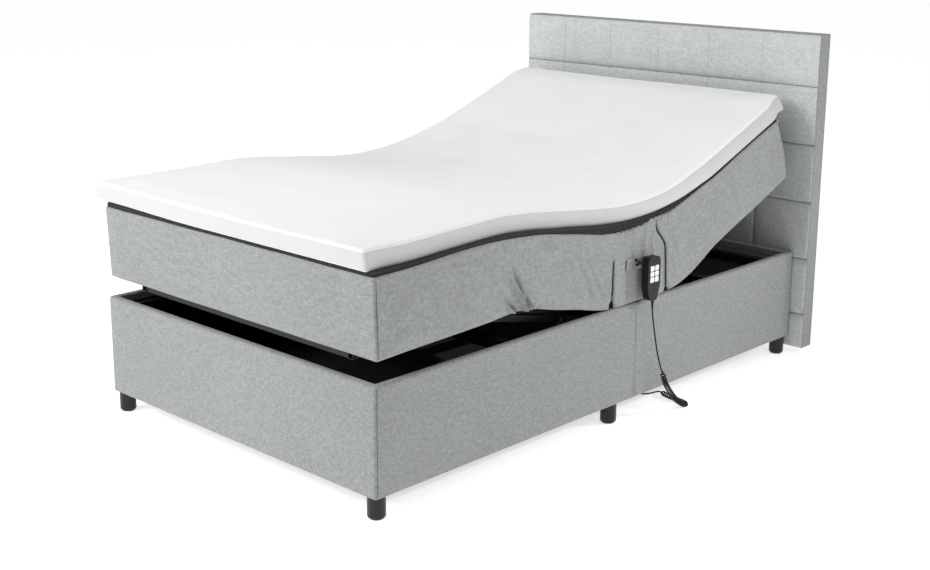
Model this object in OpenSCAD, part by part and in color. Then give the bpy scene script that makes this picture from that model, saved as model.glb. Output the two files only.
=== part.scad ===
// Motorised box-spring bed: upholstered base box on legs, adjustable mattress box in four
// sections, loose topper, quilted headboard and a corded handset.
// X runs across the bed, +Y runs to the head end, +Z is up. Origin: centre of the object's
// footprint, on the floor.

/* [Base box] */
// Width of the base box, across the bed
bed_w = 1200; // [1100:10:1800]
// Length of the base box, from its foot face to the headboard
bed_l = 2000; // [1900:10:2200]
// Height of the base box's top edge above the floor
base_top = 370; // [360:5:440]
// Height of the legs with their glides
leg_h = 65; // [40:5:90]
// Diameter of the legs
leg_d = 50; // [35:1:56]
// Distance from a leg's axis to the outer faces of the base box
leg_inset = 30; // [28:1:40]
// Thickness of the felt glide under each leg
glide_t = 3; // [2:0.5:5]
// Thickness of the wooden side boards
board_t = 18; // [15:1:22]
// Thickness of the upholstery on the base box
base_skin = 4; // [2:0.5:6]
// Edge of the square leg blocks in the base box
block_w = 70; // [62:1:90]
// Height of the leg blocks
block_h = 60; // [40:5:80]
// Thickness of the cover that closes the base box from below
dust_t = 2; // [1:0.5:4]

/* [Sleeping surface] */
// Length of the back section
back_l = 745; // [680:5:800]
// Length of the fixed seat section, between the two hinge axes
seat_l = 300; // [280:5:360]
// Length of the thigh section
thigh_l = 388; // [370:2:430]
// Gap between the mattress and the headboard when the bed lies flat
head_gap = 5; // [3:1:20]
// Distance that the flat mattress stops short of the foot face
foot_gap = 2; // [1:1:20]
// Height of the mattress box
mattress_h = 222; // [180:2:240]
// Distance that the mattress sides stop short of the base box sides
side_gap = 2; // [1:0.5:10]
// Thickness of the mattress cover
cover_t = 3; // [2:0.5:5]
// Thickness of the plywood boards under the mattress
ply_t = 12; // [9:1:18]
// Thickness of the topper
topper_h = 60; // [40:5:80]
// Sideways shift of the loose topper
topper_shift = 45; // [0:5:45]
// Gap between neighbouring sections when they close on each other
section_gap = 2; // [1:0.5:6]
// Clearance between soft pieces that slide on each other
soft_clear = 0.3; // [0.2:0.1:1]

/* [Adjustment] */
// Angle of the back section as it stands
back_up = 21.5; // [15:0.5:30]
// Largest angle of the back section
back_max = 55; // [45:1:60]
// Angle of the thigh section as it stands
thigh_up = 11.5; // [8:0.5:16]
// Largest angle of the thigh section
thigh_max = 30; // [25:1:32]
// Angle by which the calf section slopes down to the foot as it stands
calf_droop = 2; // [1:0.5:3]

/* [Steel frame] */
// Width of the rectangular tubes
tube_w = 25; // [20:1:30]
// Wall of all steel tubes
tube_wall = 2; // [1.5:0.5:3]
// Height of the tubes in the moving frames
frame_h = 28; // [24:1:32]
// Height of the two fixed rails
rail_h = 40; // [36:1:50]
// Gap under the moving frames, above the fixed rails
rail_gap = 4; // [3:0.5:8]
// Width of the side tubes in the moving frames
side_tube_w = 20; // [18:1:20]
// Gap left for the weld between two tubes
weld_gap = 0.3; // [0.2:0.1:0.5]
// Thickness of the hinge lugs and links
plate_t = 6; // [4:1:6]
// Gap between plates that turn against each other
plate_gap = 3; // [2:0.5:3]
// Diameter of the hinge pins
pin_d = 12; // [10:0.5:14]
// Radial running clearance of pins, rollers and bushes
run_clear = 0.05; // [0.02:0.01:0.1]

/* [Lifting arms] */
// Outer diameter of the torque tubes
torque_d = 34; // [30:1:34]
// Diameter of the torque tubes' end journals
journal_d = 20; // [16:1:22]
// Diameter of the rollers
roller_d = 44; // [36:1:44]
// Width of the rollers
roller_w = 24; // [16:1:24]
// Distance of the rollers from the middle of the bed
roller_x = 300; // [240:5:340]
// Length of the back section's lifting arms
back_arm_l = 360; // [350:5:370]
// Length of the thigh section's lifting arms
thigh_arm_l = 300; // [290:5:305]
// Distance between a torque tube's axis and its section's hinge, along the bed
torque_back = 62; // [60:1:66]
// Free gap between the rollers and the moving frames
roller_gap = 1.7; // [1.5:0.1:2.5]
// Height of the arm and lever plates
arm_h = 26; // [22:1:28]
// Depth of the dip in the arms, which clears the cross tubes of the moving frames
arm_dip = 40; // [38:1:44]

/* [Actuators] */
// Distance of each actuator from the middle of the bed
actuator_x = 110; // [95:5:150]
// Distance from a torque tube's axis down to its actuator's axis
lever_l = 88; // [80:1:92]
// Outer diameter of the actuator tube
sleeve_d = 34; // [30:1:38]
// Diameter of the push rod
rod_d = 20; // [16:1:22]
// Diameter of the actuator's pins
fork_pin_d = 10; // [8:0.5:12]

/* [Headboard] */
// Width of the headboard
headboard_w = 1300; // [1200:10:1950]
// Height of the headboard's top edge above the floor
headboard_top = 1127; // [950:1:1300]
// Height of the headboard's lower edge above the floor
headboard_low = 22; // [10:1:60]
// Thickness of the headboard
headboard_t = 70; // [60:1:100]
// Thickness of the quilted front
quilt_t = 38; // [30:1:45]
// Thickness of the border fabric
border_t = 4; // [3:0.5:6]

/* [Handset] */
// Width of the handset
handset_w = 62; // [56:1:66]
// Width of the handset at its narrow lower end
handset_low_w = 46; // [42:1:54]
// Height of the handset
handset_h = 138; // [130:1:150]
// Thickness of the handset
handset_t = 24; // [20:1:24]
// Wall of the handset's two shells
shell_t = 2; // [1.5:0.5:2.5]
// Gap between the base box and the back of the handset
handset_gap = 16; // [15:1:18]
// Place of the handset along the bed
handset_y = 81; // [60:1:90]
// Travel of the buttons
button_travel = 1; // [0.5:0.1:1.5]
// Gap around the buttons
button_gap = 0.4; // [0.3:0.1:0.6]
// Diameter of the handset cord
cord_d = 5; // [3:0.5:6]
// Outer diameter of the curly stretch of the cord
curl_d = 18; // [14:1:18]

/* [Hidden] */
$fn = 48;
eps = 1;            // how far a cutter reaches past the face it cuts

// Places along the bed
foot_y = -(bed_l + headboard_t) / 2;
head_y = foot_y + bed_l;
back_hinge_y = head_y - head_gap - back_l;
thigh_hinge_y = back_hinge_y - seat_l;
calf_l = bed_l - head_gap - foot_gap - back_l - seat_l - thigh_l;

// Heights
frame_top = base_top + 2;                   // underside of the flat mattress
hinge_z = frame_top - frame_h / 2;
rail_top = frame_top - frame_h - rail_gap;
rail_z = rail_top - rail_h / 2;
under = frame_h / 2;                        // mattress underside above the hinge axes
core_low = under + ply_t;
cover_top = under + mattress_h;
topper_low = cover_top + soft_clear;
topper_top = cover_top + topper_h;

// Upholstery turned down inside the base box, which ends just above the fixed rails
skirt_t = base_skin / 2;
skirt_low = rail_top + 2;

// Places across the bed, from the outside inwards
board_out = bed_w / 2 - base_skin;
board_in = board_out - board_t;
rail_in = board_in - tube_w;
mattress_x = bed_w / 2 - side_gap;
link_lug_x = rail_in - 28 - plate_t;        // inner face of the link lugs
link_x = link_lug_x - plate_gap - plate_t;  // inner face of the calf links
lug_x = link_x - 1 - plate_t;               // inner face of the hinge lugs
side_x = lug_x - plate_gap - side_tube_w;   // inner face of the back and thigh side tubes
calf_x = side_x - 5 - side_tube_w;          // inner face of the calf side tubes

// Torque tubes: the levers stand straight down in the middle of their travel
torque_z = hinge_z - under - roller_d / 2;
back_torque_y = back_hinge_y - torque_back;
thigh_torque_y = thigh_hinge_y + torque_back;
function arm_angle(a, l) = a + asin((roller_d / 2 + under) * (cos(a) - 1) / l - torque_back * sin(a) / l);
back_arm_up = arm_angle(back_up, back_arm_l) - atan(roller_gap / back_arm_l);
thigh_arm_up = arm_angle(thigh_up, thigh_arm_l) - atan(roller_gap / thigh_arm_l);
back_lever = back_arm_up - arm_angle(back_max, back_arm_l) / 2;
thigh_lever = thigh_arm_up - arm_angle(thigh_max, thigh_arm_l) / 2;
actuator_z = torque_z - lever_l;
back_pin_y = back_torque_y + lever_l * tan(back_lever);
thigh_pin_y = thigh_torque_y - lever_l * tan(thigh_lever);
bush_d = journal_d + 6;
bush_flange = 2.5;

// Calf links: they keep the calf section close to level while the thigh section rises
link_c = 100;                                // link pin on the calf frame, from the knee
droop_ratio = calf_droop / thigh_up;
link_span = thigh_l - link_c * droop_ratio;
link_l = link_span * link_span / thigh_l;
link_d = thigh_l + link_c - link_l;         // link pin on the fixed rail, from the thigh hinge
link_up = thigh_up * thigh_l / link_span;
link_w = 20;

// Cross tubes of the fixed frame
cross_h = 30;
foot_cross_y = foot_y + base_skin + board_t + 30;
head_cross_y = head_y - base_skin - board_t - 30;
back_anchor_y = thigh_torque_y - thigh_arm_l - 112;
leg_anchor_y = back_torque_y + back_arm_l + 52;
seat_cross = 38;                             // seat tube from the torque tube's axis

// Colours
grey_fabric = [0.66, 0.69, 0.68];
white_fabric = [0.95, 0.95, 0.95];
charcoal = [0.2, 0.2, 0.21];
steel_grey = [0.28, 0.29, 0.3];
wood_tone = [0.8, 0.68, 0.5];

// Route of the handset cord: down from the handset, the curly stretch, and under the bed
upper_route = [
    [632, 88, 379], [632, 88, 357], [633, 91, 325], [636, 96, 285], [640, 101, 245],
    [645, 106, 205], [651, 112, 171], [655, 118, 148]
];
coil_route = [
    [655, 118, 148], [659, 124, 125], [661, 136, 100], [662, 156, 73], [663, 180, 47],
    [664, 204, 27], [667, 226, 13], [664, 243, 9.5], [648, 251, 9.5], [620, 257, 9.5],
    [584, 266, 9.5], [560, 273, 9.5], [542, 279, 9.5]
];
lower_route = [
    [542, 279, 9.5], [532, 282.3, 8], [520, 274, 4.5], [511, 255, 2.8], [499, 239, 2.8],
    [482, 232, 2.8], [460, 232, 3.2], [441, 234, 12], [428, 236, 32], [424, 236, 50],
    [424, 236, 68]
];
cord_in = [424, 236];

// ---------------------------------------------------------------- helpers

module box(lo, hi) {
    translate(lo)
        cube(hi - lo);
}

module both_sides() {
    children();
    mirror([1, 0, 0])
        children();
}

// Rectangular tube along X, between x0 and x1
module tube_x(x0, x1, y, z, w, h) {
    difference() {
        box([x0, y - w / 2, z - h / 2], [x1, y + w / 2, z + h / 2]);
        box([x0 - eps, y - w / 2 + tube_wall, z - h / 2 + tube_wall],
            [x1 + eps, y + w / 2 - tube_wall, z + h / 2 - tube_wall]);
    }
}

// Rectangular tube along Y, between y0 and y1, with its inner face at x
module tube_y(x, y0, y1, z, w, h) {
    difference() {
        box([x, y0, z - h / 2], [x + w, y1, z + h / 2]);
        box([x + tube_wall, y0 - eps, z - h / 2 + tube_wall],
            [x + w - tube_wall, y1 + eps, z + h / 2 - tube_wall]);
    }
}

module rod_x(x0, x1, d) {
    translate([x0, 0, 0])
        rotate([0, 90, 0])
            cylinder(d = d, h = x1 - x0);
}

// A profile drawn in the Y-Z plane, extruded along X from x0 to x1
module profile_x(x0, x1) {
    translate([x0, 0, 0])
        rotate([90, 0, 90])
            linear_extrude(x1 - x0)
                children();
}

module at_y(y, z) {
    translate([0, y, z])
        children();
}

// Frames of the moving sections, with the section's hinge axis as the origin
module on_back() {
    at_y(back_hinge_y, hinge_z)
        rotate([back_up, 0, 0])
            children();
}

module on_thigh() {
    at_y(thigh_hinge_y, hinge_z)
        rotate([-thigh_up, 0, 0])
            children();
}

module on_calf() {
    on_thigh()
        at_y(-thigh_l, 0)
            rotate([thigh_up + calf_droop, 0, 0])
                children();
}

// Frames of the lifting arms, with the torque tube's axis as the origin
module on_back_arm() {
    at_y(back_torque_y, torque_z)
        rotate([back_arm_up, 0, 0])
            children();
}

module on_thigh_arm() {
    at_y(thigh_torque_y, torque_z)
        rotate([-thigh_arm_up, 0, 0])
            children();
}

// Smooth route through a list of points, and a round tube swept along it
function spline(a, b, c, d, t) =
    0.5 * (2 * b + (c - a) * t + (2 * a - 5 * b + 4 * c - d) * t * t
        + (3 * b - a - 3 * c + d) * t * t * t);
function knot(p, i) =
    i < 0 ? 2 * p[0] - p[1]
    : i > len(p) - 1 ? 2 * p[len(p) - 1] - p[len(p) - 2]
    : p[i];
function route(p, steps) = [
    for (i = [0 : len(p) - 2], s = [0 : steps - 1])
        spline(knot(p, i - 1), p[i], p[i + 1], knot(p, i + 2), s / steps),
    p[len(p) - 1]
];
function unit(v) = v / norm(v);
function heading(q, i) = unit(knot(q, i + 1) - knot(q, i - 1));
function ring(q, i, r, n, side) =
    let (
        t = heading(q, i),
        u = unit(cross(t, side)),
        v = cross(t, u)
    )
    [for (k = [0 : n - 1]) q[i] + r * (cos(360 * k / n) * u + sin(360 * k / n) * v)];

module swept_tube(points, d, steps, sides, side) {
    q = route(points, steps);
    m = len(q);
    verts = [for (i = [0 : m - 1]) each ring(q, i, d / 2, sides, side)];
    walls = [
        for (i = [0 : m - 2], k = [0 : sides - 1])
            let (j = (k + 1) % sides)
            [i * sides + k, (i + 1) * sides + k, (i + 1) * sides + j, i * sides + j]
    ];
    caps = [
        [for (k = [0 : sides - 1]) k],
        [for (k = [0 : sides - 1]) m * sides - 1 - k]
    ];
    polyhedron(points = verts, faces = concat(walls, caps), convexity = 6);
}

// ---------------------------------------------------------------- base box

module side_board() {
    box([board_in, foot_y + base_skin, leg_h],
        [board_out, head_y - base_skin, base_top - base_skin]);
}

module side_board_right() {
    color(wood_tone)
        side_board();
}

module side_board_left() {
    color(wood_tone)
        mirror([1, 0, 0])
            side_board();
}

module end_board(y) {
    color(wood_tone)
        box([-board_in, y, leg_h], [board_in, y + board_t, base_top - base_skin]);
}

module foot_board() {
    end_board(foot_y + base_skin);
}

module head_board() {
    end_board(head_y - base_skin - board_t);
}

// Rectangle of the base box in plan, drawn in from its outer faces
module base_plan(inset) {
    translate([-bed_w / 2 + inset, foot_y + inset])
        square([bed_w - 2 * inset, bed_l - 2 * inset]);
}

module base_cover() {
    board_room = base_skin + board_t;
    color(grey_fabric)
        difference() {
            translate([0, 0, leg_h])
                linear_extrude(base_top - leg_h)
                    base_plan(0);
            translate([0, 0, leg_h - eps])
                linear_extrude(base_top - leg_h - base_skin + eps)
                    difference() {
                        base_plan(base_skin);
                        base_plan(board_room);
                    }
            translate([0, 0, leg_h - eps])
                linear_extrude(skirt_low - leg_h + eps)
                    base_plan(board_room);
            translate([0, 0, leg_h])
                linear_extrude(base_top)
                    base_plan(board_room + skirt_t);
        }
}

leg_x = bed_w / 2 - leg_inset;
leg_rows = [foot_y + leg_inset, (foot_y + head_y) / 2, head_y - leg_inset];

module each_leg() {
    for (y = leg_rows)
        both_sides()
            translate([leg_x, y, 0])
                children();
}

stud_d = 8;
stud_l = 32;

module legs() {
    r = leg_d / 2;
    color(charcoal)
        each_leg() {
            rotate_extrude()
                polygon([[0, glide_t], [r - 5, glide_t], [r - 1.5, glide_t + 1.5],
                    [r, glide_t + 5], [r, leg_h], [0, leg_h]]);
            translate([0, 0, leg_h - eps])
                cylinder(d = stud_d, h = stud_l + eps);
        }
}

module leg_glides() {
    color("dimgray")
        each_leg()
            cylinder(d = leg_d - 12, h = glide_t);
}

// Places of the leg blocks: [inner x, low y]
block_rows = [
    foot_y + base_skin + board_t,
    (foot_y + head_y - block_w) / 2,
    head_y - base_skin - board_t - block_w
];

module corner_blocks() {
    color(wood_tone)
        difference() {
            for (y = block_rows)
                both_sides()
                    box([board_in - block_w, y, leg_h], [board_in, y + block_w, leg_h + block_h]);
            each_leg()
                translate([0, 0, leg_h - eps])
                    cylinder(d = stud_d + 2 * run_clear, h = stud_l + 2 * eps);
        }
}

grommet_d = 14;

module dust_cover() {
    room = 0.3;
    color([0.12, 0.12, 0.12])
        difference() {
            translate([0, 0, leg_h])
                linear_extrude(dust_t)
                    base_plan(base_skin + board_t + room);
            for (y = block_rows)
                both_sides()
                    box([board_in - block_w - room, y - room, leg_h - eps],
                        [board_in + eps, y + block_w + room, leg_h + dust_t + eps]);
            translate([cord_in[0], cord_in[1], leg_h - eps])
                cylinder(d = grommet_d, h = dust_t + 2 * eps);
        }
}

module cord_grommet() {
    rim = 2;
    color("black")
        translate([cord_in[0], cord_in[1], leg_h - rim])
            difference() {
                union() {
                    cylinder(d = grommet_d + 6, h = rim);
                    cylinder(d = grommet_d - 0.2, h = 2 * rim + dust_t);
                    translate([0, 0, rim + dust_t])
                        cylinder(d = grommet_d + 6, h = rim);
                }
                translate([0, 0, -eps])
                    cylinder(d = cord_d + 0.4, h = 2 * rim + dust_t + 2 * eps);
            }
}

// ---------------------------------------------------------------- fixed steel frame

rail_end = 12;      // gap from the rails to the end boards

module frame_rails() {
    color(steel_grey)
        both_sides()
            difference() {
                tube_y(rail_in, foot_y + base_skin + board_t + rail_end,
                    head_y - base_skin - board_t - rail_end, rail_z, tube_w, rail_h);
                for (y = [back_torque_y, thigh_torque_y])
                    at_y(y, torque_z)
                        rod_x(rail_in - eps, rail_in + tube_w / 2, bush_d);
            }
}

// Plates that hang from a cross tube and hold the end of an actuator
module anchor_plates(x, y) {
    reach = 16;
    gap = 22;
    for (s = [-1, 1])
        difference() {
            box([x + s * (gap + plate_t / 2) - plate_t / 2, y - cross_h / 2, actuator_z - reach],
                [x + s * (gap + plate_t / 2) + plate_t / 2, y + cross_h / 2,
                    rail_z - cross_h / 2 - weld_gap]);
            at_y(y, actuator_z)
                rod_x(x - 2 * gap, x + 2 * gap, fork_pin_d + 2 * run_clear);
        }
}

module frame_cross_tubes() {
    seat_h = frame_top - rail_top;
    color(steel_grey) {
        for (y = [foot_cross_y, back_anchor_y, leg_anchor_y, head_cross_y])
            tube_x(-rail_in + weld_gap, rail_in - weld_gap, y, rail_z, cross_h, cross_h);
        for (y = [thigh_torque_y + seat_cross, back_torque_y - seat_cross])
            tube_x(-rail_in - tube_w / 2, rail_in + tube_w / 2, y, rail_top + seat_h / 2,
                tube_w, seat_h);
        anchor_plates(-actuator_x, back_anchor_y);
        anchor_plates(actuator_x, leg_anchor_y);
    }
}

// Angle bracket that stands on a rail, with its lug's inner face at x
module hinge_bracket(x, y) {
    half = 18;
    foot_t = 4;
    difference() {
        union() {
            box([x, y - half, rail_top], [board_in - skirt_t - 1, y + half, rail_top + foot_t]);
            box([x, y - half, rail_top], [x + plate_t, y + half, frame_top - 1]);
        }
        at_y(y, hinge_z)
            rod_x(x - eps, x + plate_t + eps, pin_d + 2 * run_clear);
    }
}

module hinge_brackets() {
    color(steel_grey)
        both_sides() {
            hinge_bracket(lug_x, back_hinge_y);
            hinge_bracket(lug_x, thigh_hinge_y);
            hinge_bracket(link_lug_x, thigh_hinge_y - link_d);
        }
}

pin_head = 4;

module headed_pin(x0, x1) {
    rod_x(x0, x1, pin_d);
    rod_x(x0 - pin_head, x0, pin_d + 8);
}

module hinge_pins() {
    color("silver")
        both_sides() {
            for (y = [back_hinge_y, thigh_hinge_y])
                at_y(y, hinge_z)
                    headed_pin(side_x - 1.5, lug_x + plate_t + 0.5);
            at_y(thigh_hinge_y - link_d, hinge_z)
                headed_pin(link_x - 1.5, link_lug_x + plate_t + 3);
        }
}

module torque_tube_bushes() {
    color("ivory")
        both_sides()
            for (y = [back_torque_y, thigh_torque_y])
                at_y(y, torque_z)
                    difference() {
                        union() {
                            rod_x(rail_in, rail_in + tube_w - tube_wall - 1, bush_d);
                            rod_x(rail_in - bush_flange, rail_in, bush_d + 6);
                        }
                        rod_x(rail_in - bush_flange - eps, rail_in + tube_w,
                            journal_d + 2 * run_clear);
                    }
}

// ---------------------------------------------------------------- mattress sections

// Outline of a section in its own Y-Z plane. Its two ends lean by lean_0 and lean_1 about the
// hinge axes at y0 and y1, so that closing sections meet face to face.
module section_outline(y0, y1, z0, z1, lean_0, lean_1, inset) {
    g = section_gap / 2 + inset;
    polygon([
        [y0 + g + z0 * tan(lean_0), z0],
        [y1 - g - z0 * tan(lean_1), z0],
        [y1 - g - z1 * tan(lean_1), z1],
        [y0 + g + z1 * tan(lean_0), z1]
    ]);
}

module section_board(y0, y1, lean_0, lean_1) {
    x = mattress_x - cover_t - soft_clear;
    color(wood_tone)
        profile_x(-x, x)
            section_outline(y0, y1, under, core_low, lean_0, lean_1, cover_t + soft_clear);
}

module section_core(y0, y1, lean_0, lean_1) {
    x = mattress_x - cover_t - soft_clear;
    color("khaki")
        profile_x(-x, x)
            section_outline(y0, y1, core_low, cover_top - cover_t - soft_clear,
                lean_0, lean_1, cover_t + soft_clear);
}

module section_cover(y0, y1, lean_0, lean_1) {
    x = mattress_x - cover_t;
    color(grey_fabric)
        difference() {
            profile_x(-mattress_x, mattress_x)
                section_outline(y0, y1, under, cover_top, lean_0, lean_1, 0);
            profile_x(-x, x)
                section_outline(y0, y1, under - eps, cover_top - cover_t,
                    lean_0, lean_1, cover_t);
        }
}

module section_topper(y0, y1, lean_0, lean_1) {
    half = bed_w / 2;
    color(white_fabric)
        profile_x(-half - topper_shift, half - topper_shift)
            section_outline(y0, y1, topper_low, topper_top, lean_0, lean_1, 0);
}

back_lean = back_max / 2;
thigh_lean = thigh_max / 2;

module seat_board() {
    at_y(0, hinge_z)
        section_board(thigh_hinge_y, back_hinge_y, thigh_lean, back_lean);
}

module seat_core() {
    at_y(0, hinge_z)
        section_core(thigh_hinge_y, back_hinge_y, thigh_lean, back_lean);
}

module seat_cover() {
    at_y(0, hinge_z)
        section_cover(thigh_hinge_y, back_hinge_y, thigh_lean, back_lean);
}

module seat_topper() {
    at_y(0, hinge_z)
        section_topper(thigh_hinge_y, back_hinge_y, thigh_lean, back_lean);
}

module back_board() {
    on_back()
        section_board(0, back_l, back_lean, 0);
}

module back_core() {
    on_back()
        section_core(0, back_l, back_lean, 0);
}

module back_cover() {
    on_back()
        section_cover(0, back_l, back_lean, 0);
}

// The topper creeps up the back section as it rises, by the mattress's height times the angle
topper_creep = cover_top * back_up * PI / 180;

module back_topper() {
    on_back()
        at_y(topper_creep, 0)
            section_topper(0, back_l, back_lean, 0);
}

module thigh_board() {
    on_thigh()
        section_board(-thigh_l, 0, 0, thigh_lean);
}

module thigh_core() {
    on_thigh()
        section_core(-thigh_l, 0, 0, thigh_lean);
}

module thigh_cover() {
    on_thigh()
        section_cover(-thigh_l, 0, 0, thigh_lean);
}

module thigh_topper() {
    on_thigh()
        section_topper(-thigh_l, 0, 0, thigh_lean);
}

module calf_board() {
    on_calf()
        section_board(-calf_l, 0, 0, 0);
}

module calf_core() {
    on_calf()
        section_core(-calf_l, 0, 0, 0);
}

module calf_cover() {
    on_calf()
        section_cover(-calf_l, 0, 0, 0);
}

module calf_topper() {
    on_calf()
        section_topper(-calf_l, 0, 0, 0);
}

// ---------------------------------------------------------------- moving steel frames

// Side tubes with their inner faces at x, cross tubes at the given places. A side tube ends on
// each hinge axis in a round eye, which turns under the next section's board.
module section_frame(x, y0, y1, crosses, eyes) {
    both_sides()
        difference() {
            union() {
                tube_y(x, y0, y1, 0, side_tube_w, frame_h);
                for (y = eyes)
                    at_y(y, 0)
                        rod_x(x, x + side_tube_w, frame_h - 2);
            }
            for (y = eyes)
                at_y(y, 0)
                    rod_x(x - eps, x + side_tube_w + eps, pin_d + 2 * run_clear);
        }
    for (y = crosses)
        tube_x(-x + weld_gap, x - weld_gap, y, 0, tube_w, frame_h);
}

tube_end_gap = 30;  // distance that the side tubes stop short of the head and foot ends

// Tubes that the rollers push against, between two cross tubes
module roller_tubes(y0, y1) {
    end = tube_w / 2 + weld_gap;
    both_sides()
        tube_y(roller_x - tube_w / 2, y0 + end, y1 - end, 0, tube_w, frame_h);
}

module back_frame() {
    rows = [60, 385, back_l - 45];
    color(steel_grey)
        on_back() {
            section_frame(side_x, 0, back_l - tube_end_gap, rows, [0]);
            roller_tubes(rows[0], rows[1]);
        }
}

module thigh_frame() {
    rows = [-45, -340];
    color(steel_grey)
        on_thigh() {
            section_frame(side_x, -thigh_l, 0, rows, [-thigh_l, 0]);
            roller_tubes(rows[1], rows[0]);
        }
}

module calf_frame() {
    rows = [-50, -calf_l / 2, -calf_l + 45];
    color(steel_grey)
        on_calf()
            section_frame(calf_x, -calf_l + tube_end_gap, 0, rows, [-link_c, 0]);
}

module calf_pins() {
    color("silver")
        on_calf()
            both_sides() {
                headed_pin(calf_x - 0.5, side_x + side_tube_w + 1);
                at_y(-link_c, 0)
                    headed_pin(calf_x - 0.5, link_x + plate_t + 1.5);
            }
}

// The hole at the calf end is wide, because the link's path is only close to the pin's
module calf_links() {
    loose = 1;
    color(steel_grey)
        at_y(thigh_hinge_y - link_d, hinge_z)
            rotate([-link_up, 0, 0])
                both_sides()
                    difference() {
                        profile_x(link_x, link_x + plate_t)
                            bar([-link_l, 0], [0, 0], link_w);
                        rod_x(link_x - eps, link_x + plate_t + eps, pin_d + 2 * run_clear);
                        at_y(-link_l, 0)
                            rod_x(link_x - eps, link_x + plate_t + eps, pin_d + 2 * loose);
                    }
}

// Flat bar with round ends between two points of its plane
module bar(a, b, w) {
    l = norm(b - a);
    translate(a)
        rotate(atan2(b[1] - a[1], b[0] - a[0])) {
            translate([0, -w / 2])
                square([l, w]);
            for (end = [0, l])
                translate([end, 0])
                    circle(d = w);
        }
}

// ---------------------------------------------------------------- lifting arms

fork_gap = max(roller_w, tube_w) / 2 + 2;
lever_gap = 9;
dip_start = 85;     // the dip's ends, measured from the torque tube's axis
dip_end = 160;

// Arm plate in its Y-Z plane: it runs from the torque tube through the dip to the roller
module arm_outline(l, dir) {
    path = [[0, 0], [dir * dip_start, -arm_dip], [dir * dip_end, -arm_dip], [dir * l, 0]];
    for (i = [0 : len(path) - 2])
        bar(path[i], path[i + 1], arm_h);
}

// Torque tube with a roller fork on each side and a slotted lever. dir is the side the arms
// point to; lean turns the lever from straight down when the arms are level.
module lift_arm(arm_l, dir, x, lean) {
    tube_end = rail_in - bush_flange - 1.5;
    slot_w = fork_pin_d + 2.6;
    slot_low = lever_l - slot_w / 2 - 1;
    slot_high = lever_l / cos(22.5) + slot_w / 2 - 1;
    difference() {
        union() {
            rod_x(-tube_end, tube_end, torque_d);
            both_sides()
                for (s = [-1, 1])
                    translate([roller_x + s * (fork_gap + plate_t / 2) - plate_t / 2, 0, 0])
                        profile_x(0, plate_t)
                            arm_outline(arm_l, dir);
            for (s = [-1, 1])
                rotate([lean, 0, 0])
                    translate([x + s * (lever_gap + plate_t / 2) - plate_t / 2, 0, 0])
                        profile_x(0, plate_t)
                            rotate(-90)
                                bar([0, 0], [slot_high + 2, 0], arm_h);
        }
        rod_x(-tube_end - eps, tube_end + eps, torque_d - 2 * tube_wall);
        rotate([lean, 0, 0])
            translate([0, 0, -slot_low - slot_w / 2])
                slot_cut(x, slot_w, slot_high - slot_low - slot_w);
    }
    both_sides() {
        rod_x(tube_end - 20, tube_end, torque_d - 2 * tube_wall);
        rod_x(tube_end - 20, rail_in + tube_w - tube_wall - 2, journal_d);
        at_y(dir * arm_l, 0)
            rod_x(roller_x - fork_gap - plate_t, roller_x + fork_gap + plate_t, pin_d);
    }
}

// Upright slot through both lever plates, its upper round end at the origin
module slot_cut(x, w, l) {
    reach = lever_gap + plate_t + eps;
    profile_x(x - reach, x + reach) {
        translate([-w / 2, -l])
            square([w, l]);
        circle(d = w);
        translate([0, -l])
            circle(d = w);
    }
}

module back_lift_arm() {
    color(steel_grey)
        on_back_arm()
            lift_arm(back_arm_l, 1, -actuator_x, back_lever - back_arm_up);
}

module thigh_lift_arm() {
    color(steel_grey)
        on_thigh_arm()
            lift_arm(thigh_arm_l, -1, actuator_x, thigh_arm_up - thigh_lever);
}

module roller_pair(y) {
    color("black")
        at_y(y, 0)
            both_sides()
                difference() {
                    rod_x(roller_x - roller_w / 2, roller_x + roller_w / 2, roller_d);
                    rod_x(roller_x - roller_w, roller_x + roller_w, pin_d + 2 * run_clear);
                }
}

module back_rollers() {
    on_back_arm()
        roller_pair(back_arm_l);
}

module thigh_rollers() {
    on_thigh_arm()
        roller_pair(-thigh_arm_l);
}

// ---------------------------------------------------------------- actuators

gear_l = 92;
gear_w = 72;
gear_h = 78;
sleeve_gap = 1;     // diameter clearance of the push rod in its tube
sleeve_stop = 60;   // distance from the pin to the tube's mouth at rest
rod_in = 250;       // length of the push rod
rod_end = 21;       // distance from the pin to the end of the push rod
fork_end = 30;      // distance from the rear pin to the gear case
motor_d = 46;
rear_eye = [28, 24];    // width and height of the actuator's rear eye
rod_eye = [12, 22];     // width and height of the push rod's eye

// Actuator drawn along +Y, with its rear pin at the origin and its mouth at mouth_y
module actuator(mouth_y) {
    gear_y = fork_end + gear_l;
    gear_top = 26;
    motor_z = gear_top - gear_h + motor_d / 2 - 10;
    motor_l = 152;
    bore_l = 20;
    pin_reach = 30;
    color(charcoal) {
        difference() {
            union() {
                box([-gear_w / 2, fork_end, gear_top - gear_h], [gear_w / 2, gear_y, gear_top]);
                along_y(fork_end + 14, motor_z)
                    cylinder(d = motor_d, h = motor_l);
            }
            along_y(gear_y - bore_l, 0)
                cylinder(d = rod_d + sleeve_gap, h = bore_l + eps);
        }
        box([-rear_eye[0] / 2, -rear_eye[1] / 2, -rear_eye[1] / 2],
            [rear_eye[0] / 2, fork_end + eps, rear_eye[1] / 2]);
        rod_x(-pin_reach, pin_reach, fork_pin_d);
    }
    color("silver")
        along_y(gear_y - eps, 0)
            difference() {
                cylinder(d = sleeve_d, h = mouth_y - gear_y + eps);
                translate([0, 0, -eps])
                    cylinder(d = rod_d + sleeve_gap, h = mouth_y + 2 * eps);
            }
}

// Places upright shapes along +Y, starting at y
module along_y(y, z) {
    translate([0, y, z])
        rotate([-90, 0, 0])
            children();
}

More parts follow.
